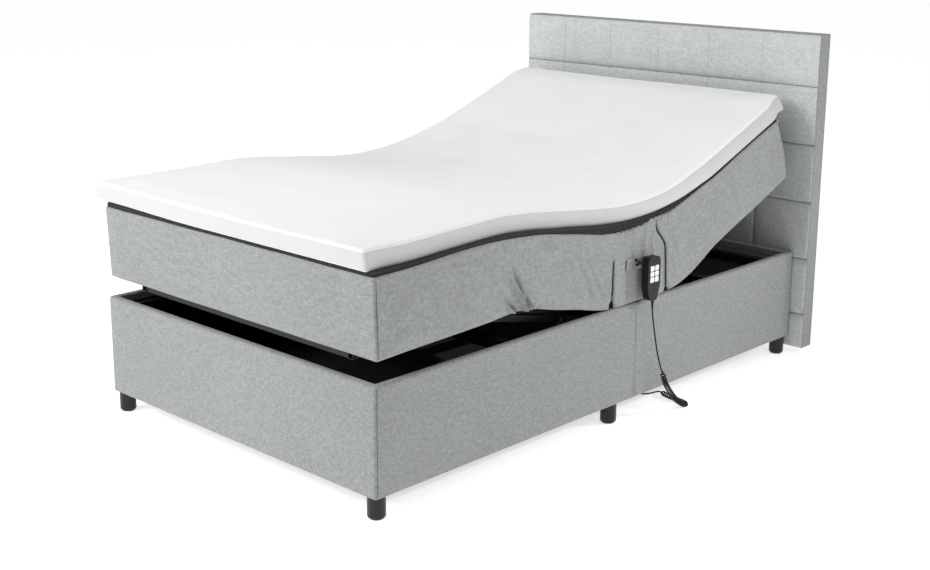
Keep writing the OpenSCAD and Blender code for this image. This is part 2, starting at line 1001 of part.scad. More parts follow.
// Push rod with its pin at the origin, reaching back along -Y
module push_rod() {
    pin_reach = lever_gap + plate_t + 3;
    color("silver") {
        along_y(-rod_in - rod_end, 0)
            cylinder(d = rod_d, h = rod_in);
        box([-rod_eye[0] / 2, -rod_end - 4, -rod_eye[1] / 2],
            [rod_eye[0] / 2, rod_eye[1] / 2, rod_eye[1] / 2]);
        rod_x(-pin_reach, pin_reach, fork_pin_d);
    }
}

module back_actuator() {
    translate([-actuator_x, back_anchor_y, actuator_z])
        actuator(back_pin_y - sleeve_stop - back_anchor_y);
}

module back_actuator_rod() {
    translate([-actuator_x, back_pin_y, actuator_z])
        push_rod();
}

module leg_actuator() {
    translate([actuator_x, leg_anchor_y, actuator_z])
        rotate([0, 0, 180])
            actuator(leg_anchor_y - thigh_pin_y - sleeve_stop);
}

module leg_actuator_rod() {
    translate([actuator_x, thigh_pin_y, actuator_z])
        rotate([0, 0, 180])
            push_rod();
}

// Control box under the cross tube at the head end, with its mains inlet and handset socket
module control_box() {
    size = [160, 100, 46];
    inlet = [24, 14, 18];
    socket_d = 12;
    side_room = 20;
    top = rail_z - cross_h / 2 - weld_gap;
    color([0.15, 0.15, 0.16])
        translate([-250, leg_anchor_y - size[1] / 2, top - size[2]])
            difference() {
                cube(size);
                translate([side_room, size[1] - inlet[1], side_room / 2])
                    cube(inlet + [0, eps, 0]);
                translate([size[0] - 2 * side_room, -eps, size[2] / 2])
                    rotate([-90, 0, 0])
                        cylinder(d = socket_d, h = socket_d);
            }
}

// ---------------------------------------------------------------- headboard

module headboard_slab(y0, y1, inset) {
    half = headboard_w / 2 - inset;
    box([-half, head_y + y0, headboard_low + inset], [half, head_y + y1, headboard_top - inset]);
}

module headboard_quilt() {
    color(grey_fabric)
        headboard_slab(soft_clear, quilt_t, 0);
}

module headboard_board() {
    color(wood_tone)
        headboard_slab(quilt_t, headboard_t - border_t, border_t);
}

module headboard_border() {
    color(grey_fabric)
        difference() {
            headboard_slab(quilt_t, headboard_t, 0);
            headboard_slab(quilt_t - eps, headboard_t - border_t, border_t);
        }
}

// ---------------------------------------------------------------- handset

handset_low = upper_route[0][2] - shell_t;      // the cord starts inside the lower end
handset_back_x = bed_w / 2 + handset_gap;
handset_mid_x = handset_back_x + handset_t / 2;
handset_front_x = handset_back_x + handset_t;
handset_top = handset_low + handset_h;
taper_h = 48;                                   // the handset narrows below this height

// Front outline of the handset, drawn in from its edge
module handset_outline(inset) {
    top_r = 16;
    mid_r = 10;
    low_r = 18;
    half = handset_w / 2;
    low_half = handset_low_w / 2;
    hull()
        for (s = [-1, 1]) {
            translate([handset_y + s * (half - top_r), handset_top - top_r])
                circle(r = top_r - inset, $fn = 32);
            translate([handset_y + s * (half - mid_r), handset_low + taper_h])
                circle(r = mid_r - inset, $fn = 32);
            translate([handset_y + s * (low_half - low_r), handset_low + low_r])
                circle(r = low_r - inset, $fn = 32);
        }
}

// Buttons: two columns and three rows. Each row is the distance of its top edge below the
// handset's top, and its height.
button_w = 18;
button_pitch = 22.5;
button_rows = [[27, 16], [45.5, 14.5], [62.5, 16]];
function button_y(i) = handset_y + (i % 2 - 0.5) * button_pitch;
function button_top(i) = handset_top - button_rows[floor(i / 2)][0];
function button_height(i) = button_rows[floor(i / 2)][1];

module button_plan(i, grow) {
    r = 3;
    w = button_w + 2 * grow;
    h = button_height(i) + 2 * grow;
    translate([button_y(i) - w / 2 + r, button_top(i) - button_height(i) - grow + r]) {
        translate([-r, 0])
            square([w, h - 2 * r]);
        translate([0, -r])
            square([w - 2 * r, h]);
        for (a = [0, w - 2 * r], b = [0, h - 2 * r])
            translate([a, b])
                circle(r = r);
    }
}

module handset_front() {
    color([0.09, 0.09, 0.1])
        difference() {
            profile_x(handset_mid_x, handset_front_x)
                handset_outline(0);
            profile_x(handset_mid_x - eps, handset_front_x - shell_t)
                handset_outline(shell_t);
            for (i = [0 : 5])
                profile_x(handset_front_x - shell_t - eps, handset_front_x + eps)
                    button_plan(i, button_gap);
            translate([upper_route[0][0], upper_route[0][1], handset_low - eps])
                cylinder(d = cord_d + 0.4, h = 2 * shell_t + eps);
        }
}

// Back shell with the hanging clip that grips the strap
module handset_back() {
    clip_x = handset_back_x - 9;
    clip_t = 3;
    clip_y = [handset_y - 14, handset_y + 8];
    clip_z = [handset_top - 46, handset_top - 3];
    color([0.09, 0.09, 0.1]) {
        difference() {
            profile_x(handset_back_x, handset_mid_x)
                handset_outline(0);
            profile_x(handset_back_x + shell_t, handset_mid_x + eps)
                handset_outline(shell_t);
        }
        box([clip_x, clip_y[0], clip_z[1] - clip_t], [handset_back_x + 1, clip_y[1], clip_z[1]]);
        box([clip_x, clip_y[0], clip_z[0]], [clip_x + clip_t, clip_y[1], clip_z[1]]);
    }
}

module button(i) {
    lift = 1.6;
    color("white")
        profile_x(handset_front_x - shell_t - 2, handset_front_x + lift)
            button_plan(i, 0);
}

module button_1() { button(0); }
module button_2() { button(1); }
module button_3() { button(2); }
module button_4() { button(3); }
module button_5() { button(4); }
module button_6() { button(5); }

// Fabric strap: sewn to the side of the seat section, it runs out into the handset's clip
module strap_line(x0, y0, x1, y1, t) {
    polygon([[y0, x0], [y1, x1], [y1, x1 + t], [y0, x0 + t]]);
}

module handset_strap() {
    t = 2;
    low = handset_top - 37;
    high = handset_top - 2;
    side = mattress_x + soft_clear;
    out = handset_back_x - 4.5;
    start = handset_y - 87;
    color(grey_fabric)
        intersection() {
            translate([0, 0, low])
                linear_extrude(high - low)
                    rotate(90)
                        mirror([0, 1])
                            union() {
                                strap_line(side, start, side, start + 38, t);
                                strap_line(side, start + 38, out, start + 70, t);
                                strap_line(out, start + 70, out, start + 94, t);
                            }
            profile_x(side - eps, out + t + eps)
                polygon([[start, low], [start, high], [start + 40, high - 2],
                    [start + 94, high - 11], [start + 94, low + 5], [start + 40, low]]);
        }
}

// ---------------------------------------------------------------- cord

module cord_upper() {
    color("black")
        swept_tube(upper_route, cord_d, 3, 8, [1, 0, 0]);
}

module cord_coil() {
    color("black")
        swept_tube(coil_route, curl_d, 2, 12, [0, 0, 1]);
}

module cord_lower() {
    color("black")
        swept_tube(lower_route, cord_d, 2, 8, [0, 1, 0.2]);
}

// ---------------------------------------------------------------- assembly

foot_board();
head_board();
side_board_left();
side_board_right();
base_cover();
corner_blocks();
dust_cover();
legs();
leg_glides();
frame_rails();
frame_cross_tubes();
hinge_brackets();
hinge_pins();
torque_tube_bushes();
seat_board();
seat_core();
seat_cover();
seat_topper();
back_frame();
back_board();
back_core();
back_cover();
back_topper();
thigh_frame();
thigh_board();
thigh_core();
thigh_cover();
thigh_topper();
calf_frame();
calf_board();
calf_core();
calf_cover();
calf_topper();
calf_pins();
calf_links();
back_lift_arm();
thigh_lift_arm();
back_rollers();
thigh_rollers();
back_actuator();
back_actuator_rod();
leg_actuator();
leg_actuator_rod();
control_box();
headboard_board();
headboard_quilt();
headboard_border();
handset_front();
handset_back();
button_1();
button_2();
button_3();
button_4();
button_5();
button_6();
handset_strap();
cord_upper();
cord_coil();
cord_lower();
cord_grommet();
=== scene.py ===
"""Looks of the adjustable box-spring bed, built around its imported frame. Metres, row frame."""

import math

import bpy
import numpy as np
from mathutils import Matrix, Vector


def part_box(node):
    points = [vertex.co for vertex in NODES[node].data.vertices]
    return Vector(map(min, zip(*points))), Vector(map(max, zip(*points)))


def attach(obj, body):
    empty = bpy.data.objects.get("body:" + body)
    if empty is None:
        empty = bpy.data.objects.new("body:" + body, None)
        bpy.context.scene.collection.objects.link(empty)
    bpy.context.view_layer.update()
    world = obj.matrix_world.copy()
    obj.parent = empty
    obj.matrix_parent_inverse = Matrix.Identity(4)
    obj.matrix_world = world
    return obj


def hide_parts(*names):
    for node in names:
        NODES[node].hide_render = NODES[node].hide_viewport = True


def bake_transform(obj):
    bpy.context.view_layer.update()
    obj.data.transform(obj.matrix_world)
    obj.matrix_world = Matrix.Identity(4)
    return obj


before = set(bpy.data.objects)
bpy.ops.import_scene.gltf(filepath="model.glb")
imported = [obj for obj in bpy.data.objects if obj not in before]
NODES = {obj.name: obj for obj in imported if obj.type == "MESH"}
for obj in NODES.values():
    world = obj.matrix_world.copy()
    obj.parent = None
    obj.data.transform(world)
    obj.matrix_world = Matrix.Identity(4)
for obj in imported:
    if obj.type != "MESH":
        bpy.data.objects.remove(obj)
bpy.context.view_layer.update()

# ------------------------------------------------------------------ measures

# Hinge lines, and how far each section is turned at rest
HINGE_Z = 0.358
BACK_Y, THIGH_Y, KNEE_Y = 0.215, -0.085, -0.473
BACK_UP, THIGH_UP, KNEE_DOWN = (math.radians(a) for a in (21.5, 11.5, 13.5))
# Stretches over which the soft pieces bend; u runs along the flat mattress and h up from the hinges
BACK_ZONE = (0.062, 0.517)
THIGH_ZONE = (0.055, -0.245)
KNEE_ZONE = (-0.333, -0.613)
# Where one soft piece ends and the next begins
SEAT_CUT, THIGH_CUT, BACK_CUT = 0.0585, -0.29, 0.60
# Grey cover of the mattress: ends, half width, underside, plain height, and the slits in its long sides
FOOT_U, HEAD_U = -1.033, 0.96
SIDE_X = 0.597
UNDER_H = 0.0145
COVER_H = 0.226
BACK_SLIT, THIGH_SLIT = 0.207, -0.066
TOPPER_X = (-0.645, 0.555)
TOPPER_U = (-1.0345, 1.0475)
TOPPER_T = 0.062
TOPPER_R = 0.012
# Stands in for an end that isn't rounded
FAR_OFF = 9.0


def smooth(t):
    t = np.clip(t, 0.0, 1.0)
    return t * t * (3 - 2 * t)


def bump(t, centre, width):
    return np.exp(-(((t - centre) / width) ** 2))


def turned(y, z, pivot_y, angle):
    c, s = np.cos(angle), np.sin(angle)
    dy, dz = y - pivot_y, z - HINGE_Z
    return pivot_y + dy * c - dz * s, HINGE_Z + dy * s + dz * c


def bent(u, h):
    """Row y and z of a point that lies at u along the flat mattress and h above the hinges."""
    y, z = u, HINGE_Z + h
    knee = smooth((u - KNEE_ZONE[0]) / (KNEE_ZONE[1] - KNEE_ZONE[0]))
    y, z = turned(y, z, KNEE_Y, KNEE_DOWN * knee)
    thigh = smooth((u - THIGH_ZONE[0]) / (THIGH_ZONE[1] - THIGH_ZONE[0]))
    y, z = turned(y, z, THIGH_Y, -THIGH_UP * thigh)
    back = smooth((u - BACK_ZONE[0]) / (BACK_ZONE[1] - BACK_ZONE[0]))
    return turned(y, z, BACK_Y, BACK_UP * back)


# ------------------------------------------------------------------ camera

AZIMUTH, ELEVATION, ROLL = (math.radians(a) for a in (43.509, 13.449, 0.365))
sa, ca, se, ce = math.sin(AZIMUTH), math.cos(AZIMUTH), math.sin(ELEVATION), math.cos(ELEVATION)
forward = Vector((-sa * ce, ca * ce, -se))
right, up = Vector((ca, sa, 0)), Vector((-sa * se, ca * se, ce))
rolled_right = right * math.cos(ROLL) + up * math.sin(ROLL)
rolled_up = up * math.cos(ROLL) - right * math.sin(ROLL)
camera = bpy.data.objects.new("camera", bpy.data.cameras.new("camera"))
bpy.context.scene.collection.objects.link(camera)
camera.data.lens, camera.data.sensor_width = 54.13, 36
camera.data.shift_y = -45 / 930
camera.data.clip_end = 400
camera.matrix_world = Matrix.Translation((3.0425, -3.2836, 1.5426)) @ Matrix(
    (rolled_right, rolled_up, -forward)).transposed().to_4x4()
bpy.context.scene.camera = camera

# ------------------------------------------------------------------ materials


class Nodes:
    """Small helper that adds shader nodes and links them."""

    def __init__(self, name, rough, **sockets):
        self.mat = bpy.data.materials.new(name)
        self.mat.use_nodes = True
        self.tree = self.mat.node_tree
        self.shader = self.tree.nodes["Principled BSDF"]
        self.set(self.shader, "Roughness", rough)
        for key, value in sockets.items():
            self.set(self.shader, key.replace("_", " "), value)
        self.where = self.add("ShaderNodeTexCoord").outputs["Object"]

    def add(self, kind, **props):
        node = self.tree.nodes.new(kind)
        for key, value in props.items():
            setattr(node, key, value)
        return node

    def set(self, node, socket, value):
        if isinstance(value, bpy.types.NodeSocket):
            self.tree.links.new(value, node.inputs[socket])
        else:
            node.inputs[socket].default_value = value

    def math(self, operation, a, b=0.0, c=0.0):
        node = self.add("ShaderNodeMath", operation=operation)
        for i, value in enumerate((a, b, c)):
            self.set(node, i, value)
        return node.outputs[0]

    def noise(self, scale, detail=2.0, rough=0.5, stretch=None, distortion=0.0):
        where = self.where
        if stretch:
            node = self.add("ShaderNodeMapping")
            self.set(node, "Vector", where)
            self.set(node, "Scale", stretch)
            where = node.outputs[0]
        node = self.add("ShaderNodeTexNoise")
        self.set(node, "Vector", where)
        self.set(node, "Scale", scale)
        self.set(node, "Detail", detail)
        self.set(node, "Roughness", rough)
        self.set(node, "Distortion", distortion)
        return node.outputs["Fac"]

    def ramp(self, value, *stops):
        node = self.add("ShaderNodeValToRGB")
        self.set(node, "Fac", value)
        line = node.color_ramp
        while len(line.elements) < len(stops):
            line.elements.new(0.5)
        for element, (at, colour) in zip(line.elements, stops):
            element.position = at
            element.color = (*colour, 1) if hasattr(colour, "__len__") else (colour,) * 3 + (1,)
        return node.outputs["Color"]

    def mix(self, factor, a, b, blend="MIX"):
        node = self.add("ShaderNodeMix", data_type="RGBA", blend_type=blend)
        for socket, value in (("Factor", factor), ("A", a), ("B", b)):
            found = [i for i in node.inputs if i.name == socket and i.enabled][-1]
            if isinstance(value, bpy.types.NodeSocket):
                self.tree.links.new(value, found)
            else:
                found.default_value = value if socket == "Factor" else (*value, 1)
        return [o for o in node.outputs if o.enabled][0]

    def weave(self, pitch):
        """Threads crossing at right angles on any face, from 0 to 1."""
        split = self.add("ShaderNodeSeparateXYZ")
        self.set(split, "Vector", self.where)
        waves = [self.math("SINE", self.math("MULTIPLY", axis, 2 * math.pi / pitch))
                 for axis in split.outputs]
        pairs = [self.math("MULTIPLY", waves[i], waves[j]) for i, j in ((0, 1), (1, 2), (0, 2))]
        total = self.math("ADD", self.math("ADD", pairs[0], pairs[1]), pairs[2])
        return self.math("MULTIPLY_ADD", total, 0.25, 0.5)

    def relief(self, height, distance, strength=1.0):
        node = self.add("ShaderNodeBump")
        self.set(node, "Height", height)
        self.set(node, "Distance", distance)
        self.set(node, "Strength", strength)
        self.tree.links.new(node.outputs[0], self.shader.inputs["Normal"])

    def colour(self, value):
        self.set(self.shader, "Base Color", value)
        return self.mat


def heathered(name, tint, light, flecks=1.0):
    """Woven upholstery cloth of mixed light and dark grey yarn."""
    m = Nodes(name, 0.92, Sheen_Weight=0.25, Sheen_Roughness=0.6, Specular_IOR_Level=0.25)
    base = tuple(light * t for t in tint)
    fine = m.noise(420, 2.5, 0.65)
    slub_a = m.noise(210, 2, 0.6, stretch=(1, 1, 0.42))
    slub_b = m.noise(190, 2, 0.6, stretch=(0.34, 0.34, 1))
    cloud = m.noise(3.2, 2, 0.5)
    tone = m.ramp(fine, (0.30, 0.86), (0.5, 1.0), (0.72, 1.16))
    for slub, dark, pale in ((slub_a, 0.80, 1.18), (slub_b, 0.79, 1.19)):
        tone = m.mix(0.75 * flecks, tone, m.ramp(slub, (0.34, dark), (0.5, 1.0), (0.66, pale)), "MULTIPLY")
    tone = m.mix(0.5, tone, m.ramp(cloud, (0.3, 0.93), (0.7, 1.07)), "MULTIPLY")
    threads = m.weave(0.0026)
    tone = m.mix(0.3, tone, m.ramp(threads, (0.1, 0.88), (0.9, 1.08)), "MULTIPLY")
    m.relief(m.math("MULTIPLY_ADD", fine, 0.7, threads), 0.0011, 0.7)
    return m.colour(m.mix(1.0, base, tone, "MULTIPLY"))


def knitted(name, light):
    """Smooth pale stretch-knit cover with faint wales."""
    m = Nodes(name, 0.85, Sheen_Weight=0.2, Sheen_Roughness=0.5, Specular_IOR_Level=0.3)
    loops = m.weave(0.0032)
    soft = m.noise(7, 3, 0.55)
    tone = m.mix(1.0, m.ramp(soft, (0.3, 0.975), (0.7, 1.01)),
                 m.ramp(loops, (0.1, 0.97), (0.9, 1.01)), "MULTIPLY")
    m.relief(m.math("MULTIPLY_ADD", soft, 4.0, loops), 0.0008, 0.5)
    return m.colour(m.mix(1.0, (light, light, light * 1.004), tone, "MULTIPLY"))


def dark_cloth(name, level, pitch=0.002):
    """Matt dark cloth with a visible weave."""
    m = Nodes(name, 0.95, Sheen_Weight=0.1, Sheen_Roughness=0.5, Specular_IOR_Level=0.2)
    threads, patchy = m.weave(pitch), m.noise(60, 4, 0.6)
    tone = m.mix(1.0, m.ramp(patchy, (0.3, 0.7), (0.7, 1.3)),
                 m.ramp(threads, (0.1, 0.8), (0.9, 1.2)), "MULTIPLY")
    m.relief(m.math("MULTIPLY_ADD", patchy, 0.8, threads), 0.0006, 0.6)
    return m.colour(m.mix(1.0, level, tone, "MULTIPLY"))


def moulded(name, level, rough, grain=900, wear=0.0):
    """Fine-grained plastic, rubber or paint of slightly uneven gloss."""
    m = Nodes(name, rough, Specular_IOR_Level=0.28)
    fine, patchy = m.noise(grain, 2), m.noise(25, 3)
    m.set(m.shader, "Roughness", m.math("MULTIPLY_ADD", patchy, 0.16, rough - 0.08))
    m.relief(fine, 0.0002, 0.35)
    return m.colour(m.mix(1.0, level, m.ramp(patchy, (0.3, 0.88), (0.7, 1.1 + wear)), "MULTIPLY"))


def metal(name, level, rough, brushed=(1, 1, 1)):
    """Bare steel with fine lines along one axis."""
    m = Nodes(name, rough, Metallic=1.0)
    lines = m.noise(240, 3, 0.6, stretch=brushed)
    m.set(m.shader, "Roughness", m.math("MULTIPLY_ADD", lines, 0.2, rough - 0.1))
    m.relief(lines, 0.0001, 0.25)
    return m.colour(m.mix(1.0, level, m.ramp(lines, (0.3, 0.86), (0.7, 1.05)), "MULTIPLY"))


def wooden(name, level, stretch, scale=30):
    """Sheet wood with its figure drawn out along one axis."""
    m = Nodes(name, 0.7)
    figure = m.noise(scale, 5, 0.65, stretch=stretch, distortion=0.4)
    fine = m.noise(400, 2)
    tone = m.mix(0.4, m.ramp(figure, (0.3, 0.62), (0.55, 1.0), (0.75, 1.2)),
                 m.ramp(fine, (0.3, 0.7), (0.7, 1.25)), "MULTIPLY")
    m.relief(m.math("ADD", figure, fine), 0.0004, 0.4)
    return m.colour(m.mix(1.0, level, tone, "MULTIPLY"))


FABRIC_TINT = (0.950, 1.0, 0.988)
grey_fabric = heathered("grey_fabric", FABRIC_TINT, 0.29, 0.8)
# Quilted pad: the grey fabric painted lighter, as painted light for the brighter light that falls on the
# headboard
quilt_fabric_painted_light = heathered("quilt_fabric_painted_light", FABRIC_TINT, 0.56, 0.6)
# Corner seams: dark thread, painted darker still as painted shade of the seam's groove
seam_thread_and_groove_shade = heathered("seam_thread_and_groove_shade", FABRIC_TINT, 0.12)
topper_fabric = knitted("topper_fabric", 0.90)
# Topper sides: the same knit painted darker, as painted shade for the sides that get less light than the top
topper_sides_painted_shade = knitted("topper_sides_painted_shade", 0.60)
ticking_cloth = dark_cloth("ticking_cloth", (0.020, 0.020, 0.022))
# Near-black cloth that is painted shade: inside the slits and inside the base box
painted_shade_cloth = dark_cloth("painted_shade_cloth", (0.012, 0.012, 0.013))
under_cloth = dark_cloth("under_cloth", (0.022, 0.022, 0.024), 0.003)
felt = dark_cloth("felt", (0.10, 0.10, 0.10), 0.0015)
black_plastic = moulded("black_plastic", (0.007, 0.007, 0.0075), 0.42)
button_rubber = moulded("button_rubber", (0.80, 0.81, 0.81), 0.5)
roller_rubber = moulded("roller_rubber", (0.03, 0.03, 0.03), 0.55)
bush_plastic = moulded("bush_plastic", (0.72, 0.69, 0.60), 0.45)
cable = moulded("cable", (0.012, 0.012, 0.013), 0.38, 400)
leg_paint = moulded("leg_paint", (0.014, 0.014, 0.015), 0.32, 500, 0.1)
powder_coat = moulded("powder_coat", (0.018, 0.018, 0.020), 0.45, 700)
pin_steel = metal("pin_steel", (0.60, 0.60, 0.60), 0.35, (0.2, 1, 1))
rod_steel = metal("rod_steel", (0.76, 0.76, 0.77), 0.16, (1, 0.15, 1))
plywood = wooden("plywood", (0.62, 0.48, 0.31), (1, 0.12, 1))
chipboard = wooden("chipboard", (0.52, 0.41, 0.28), (1, 1, 1), 160)

CAD_FINISH = {
    "foot_board": chipboard, "head_board": chipboard, "side_board_left": chipboard,
    "side_board_right": chipboard, "headboard_board": chipboard, "corner_blocks": plywood,
    "dust_cover": under_cloth, "legs": leg_paint, "leg_glides": felt,
    "frame_rails": powder_coat, "frame_cross_tubes": powder_coat, "hinge_brackets": powder_coat,
    "hinge_pins": pin_steel, "torque_tube_bushes": bush_plastic, "back_frame": powder_coat,
    "thigh_frame": powder_coat, "calf_frame": powder_coat, "calf_pins": pin_steel,
    "calf_links": powder_coat, "back_lift_arm": powder_coat, "thigh_lift_arm": powder_coat,
    "back_rollers": roller_rubber, "thigh_rollers": roller_rubber,
    "back_actuator": black_plastic, "leg_actuator": black_plastic,
    "back_actuator_rod": rod_steel, "leg_actuator_rod": rod_steel,
    "control_box": black_plastic, "handset_front": black_plastic, "handset_back": black_plastic,
    "cord_grommet": roller_rubber,
}
CAD_FINISH.update({f"button_{n}": button_rubber for n in range(1, 7)})
for name, finish in CAD_FINISH.items():
    NODES[name].data.materials.clear()
    NODES[name].data.materials.append(finish)

# The bevel rounds the moulded shells; the weld joins their split corners first
for name, width in (("handset_front", 0.0022), ("handset_back", 0.0022), ("control_box", 0.002)):
    NODES[name].modifiers.new("weld", "WELD").merge_threshold = 0.00002
    soften = NODES[name].modifiers.new("soften", "BEVEL")
    soften.width, soften.segments, soften.limit_method = width, 3, "ANGLE"
    soften.angle_limit, soften.harden_normals = math.radians(50), True

# ------------------------------------------------------------------ mesh tools


def piece(name, points, faces, finishes, which=None, crease=38):
    """A mesh object with smooth faces and creases where they meet at more than crease degrees."""
    mesh = bpy.data.meshes.new(name)
    mesh.from_pydata(np.asarray(points, float).tolist(), [], [list(map(int, f)) for f in faces])
    for finish in finishes if isinstance(finishes, (list, tuple)) else [finishes]:
        mesh.materials.append(finish)
    if which is not None:
        mesh.polygons.foreach_set("material_index", np.asarray(which, np.int32))
    mesh.polygons.foreach_set("use_smooth", np.ones(len(mesh.polygons), bool))
    mesh.update()
    mesh.set_sharp_from_angle(angle=math.radians(crease))
    obj = bpy.data.objects.new(name, mesh)
    bpy.context.scene.collection.objects.link(obj)
    return obj


def lattice(xs, us, hs):
    """Points and quads of the outside of a box grid."""
    shape = (len(xs), len(us), len(hs))
    outside = np.zeros(shape, bool)
    for axis in range(3):
        for end in (0, -1):
            outside[tuple(end if a == axis else slice(None) for a in range(3))] = True
    ids = np.full(shape, -1)
    ids[outside] = np.arange(outside.sum())
    points = np.stack(np.meshgrid(xs, us, hs, indexing="ij"), -1)[outside]
    faces = []
    for sheet, flip in ((ids[0], True), (ids[-1], False), (ids[:, 0], False), (ids[:, -1], True),
                        (ids[:, :, 0], True), (ids[:, :, -1], False)):
        quads = np.stack([sheet[:-1, :-1], sheet[1:, :-1], sheet[1:, 1:], sheet[:-1, 1:]], -1)
        quads = quads.reshape(-1, 4)
        faces.append(quads[:, ::-1] if flip else quads)
    return points, np.concatenate(faces)


def lines(low, high, step, low_r=0.0, high_r=0.0, dense=()):
    """Grid lines from low to high, closer in the rounded ends and in the dense (from, to, step) runs."""
    found = []
    turns = np.tan(np.linspace(0, math.pi / 4, 5))     # they land evenly on the rounded edge
    if low_r:
        found += list(low + low_r - low_r * turns)
    if high_r:
        found += list(high - high_r + high_r * turns)
    a, b = low + low_r, high - high_r
    inner = list(np.linspace(a, b, max(2, int(round((b - a) / step)) + 1)))
    for start, end, fine in dense:
        inner = [t for t in inner if not start - 1e-6 <= t <= end + 1e-6]
        inner += list(np.linspace(start, end, int(round((end - start) / fine)) + 1))
    values = sorted(found + inner)
    kept = [values[0]]
    for t in values[1:]:
        if t - kept[-1] > 2e-4:
            kept.append(t)
    kept[-1] = high
    return np.array(kept)


def cut_rows(low, high, ends):
    """Two fine rows at each end that joins another piece, so that the shading runs on across the join."""
    rows = [] if ends[0] else [(low, low + 0.001, 0.0005)]
    return rows + ([] if ends[1] else [(high - 0.001, high, 0.0005)])


def rounded(p, low, high, radius):
    """Box points with the edges turned on an ellipse of that radius along each axis."""
    low, high, radius = (np.asarray(v, float) for v in (low, high, radius))
    inner = np.clip(p, low + radius, high - radius)
    d = (p - inner) / radius
    size = np.linalg.norm(d, axis=1, keepdims=True)
    return np.where(size > 1e-9, inner + radius * d / np.maximum(size, 1e-9), p)


def tube(name, route, radius, finish):
    """A smooth round curve through the route's points."""
    curve = bpy.data.curves.new(name, "CURVE")
    curve.dimensions = "3D"
    curve.bevel_depth, curve.bevel_resolution = radius, 3
    curve.use_fill_caps = True
    spline = curve.splines.new("POLY")
    spline.points.add(len(route) - 1)
    for point, place in zip(spline.points, route):
        point.co = (*place, 1)
    spline.use_smooth = True
    curve.materials.append(finish)
    obj = bpy.data.objects.new(name, curve)
    bpy.context.scene.collection.objects.link(obj)
    return obj


def through(points, step):
    """Points every step or so along a Catmull-Rom curve through the given ones."""
    p = np.array(points, float)
    p = np.vstack([2 * p[0] - p[1], p, 2 * p[-1] - p[-2]])
    found = []
    for i in range(1, len(p) - 2):
        n = max(1, int(round(np.linalg.norm(p[i + 1] - p[i]) / step)))
        for t in np.arange(n) / n:
            a, b, c, d = p[i - 1:i + 3]
            found.append(0.5 * (2 * b + (c - a) * t + (2 * a - 5 * b + 4 * c - d) * t ** 2
                                + (3 * b - a - 3 * c + d) * t ** 3))
    return np.array(found + [p[-2]])


# ------------------------------------------------------------------ handset cord

# Centre line in millimetres: down from the handset, the curly stretch, and under the bed to the grommet
UPPER = [[632, 88, 379], [632, 88, 357], [633, 91, 325], [636, 96, 285], [640, 101, 245],
         [645, 106, 205], [651, 112, 171], [655, 118, 148]]
COIL = [[655, 118, 148], [659, 124, 125], [661, 136, 100], [662, 156, 73], [663, 180, 47],
        [664, 204, 27], [667, 226, 13], [664, 243, 9.5], [648, 251, 9.5], [620, 257, 9.5],
        [584, 266, 9.5], [560, 273, 9.5], [542, 279, 9.5]]
LOWER = [[542, 279, 9.5], [532, 282.3, 8], [520, 274, 4.5], [511, 255, 2.8], [499, 239, 2.8],
         [482, 232, 2.8], [460, 232, 3.2], [441, 234, 12], [428, 236, 32], [424, 236, 50], [424, 236, 68]]
CORD_D, CURL_R, CURL_PITCH = 0.005, 0.0066, 0.0092


def curled(route, pitch, radius):
    """A helix wound round a route, eased in and out at both ends."""
    line = through(route, 0.001)
    run = np.concatenate([[0], np.cumsum(np.linalg.norm(np.diff(line, axis=0), axis=1))])
    turns = round(run[-1] / pitch)
    at = np.linspace(0, run[-1], turns * 16 + 1)
    centre = np.stack([np.interp(at, run, line[:, k]) for k in range(3)], -1)
    along = np.gradient(centre, axis=0)
    along /= np.linalg.norm(along, axis=1, keepdims=True)
    side = np.array([1.0, 0, 0])
    places = []
    for c, t, s in zip(centre, along, at):
        side = side - t * (side @ t)
        side /= np.linalg.norm(side)
        turn = 2 * math.pi * s / pitch
        grow = float(smooth(np.array(min(s, run[-1] - s) / (1.5 * pitch))))
        places.append(c + radius * grow * (side * math.cos(turn) + np.cross(t, side) * math.sin(turn)))
    return np.array(places)


cord_route = np.vstack([
    through(np.array(UPPER) / 1000, 0.006)[:-1],
    curled(np.array(COIL) / 1000, CURL_PITCH, CURL_R)[:-1],
    through(np.array(LOWER) / 1000, 0.004)])
cord_route[:, 2] = np.maximum(cord_route[:, 2], CORD_D / 2 + 0.0002)    # it lies on the floor
handset_cord = tube("handset_cord", cord_route, CORD_D / 2, cable)
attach(handset_cord, "base")
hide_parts("cord_upper", "cord_coil", "cord_lower")

# Strain relief: where the cord leaves the handset, and its radius from there down
CORD_EXIT = (0.632, 0.088, 0.379)
RELIEF_Z = (0.3785, 0.372, 0.366, 0.360, 0.354, 0.350)
RELIEF_R = (0.0052, 0.0048, 0.0043, 0.0039, 0.0034, 0.0028)
RIB = 0.0005


def ribbed_sleeve(name, around=20, rings=25):
    """The strain relief: a closed tapering sleeve with fine ribs."""
    zs = np.linspace(RELIEF_Z[0], RELIEF_Z[-1], rings)
    radii = np.interp(-zs, [-z for z in RELIEF_Z], RELIEF_R) - RIB * (np.arange(rings) % 4 > 1)
    points, faces = [], []
    for z, r in zip(zs, radii):
        points += [(CORD_EXIT[0] + r * math.cos(a), CORD_EXIT[1] + r * math.sin(a), z)
                   for a in np.arange(around) * 2 * math.pi / around]
    for i in range(rings - 1):
        for j in range(around):
            k = (j + 1) % around
            faces.append((i * around + j, (i + 1) * around + j, (i + 1) * around + k, i * around + k))
    faces.append(tuple(range(around)))
    faces.append(tuple(reversed(range((rings - 1) * around, rings * around))))
    return piece(name, points, faces, black_plastic)


cord_relief = ribbed_sleeve("cord_relief")
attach(cord_relief, "base")

# ------------------------------------------------------------------ mattress


def under_h(u, x):
    """Underside of the cover, with room for the lifting arms where the back bends up most."""
    inside = smooth((SIDE_X - 0.015 - np.abs(x)) / 0.05)
    return UNDER_H + 0.030 * inside * smooth((u - 0.17) / 0.09) * smooth((0.54 - u) / 0.12)


TOP_H = 0.2371                      # top edge of the cover where it lies flat, above the hinges


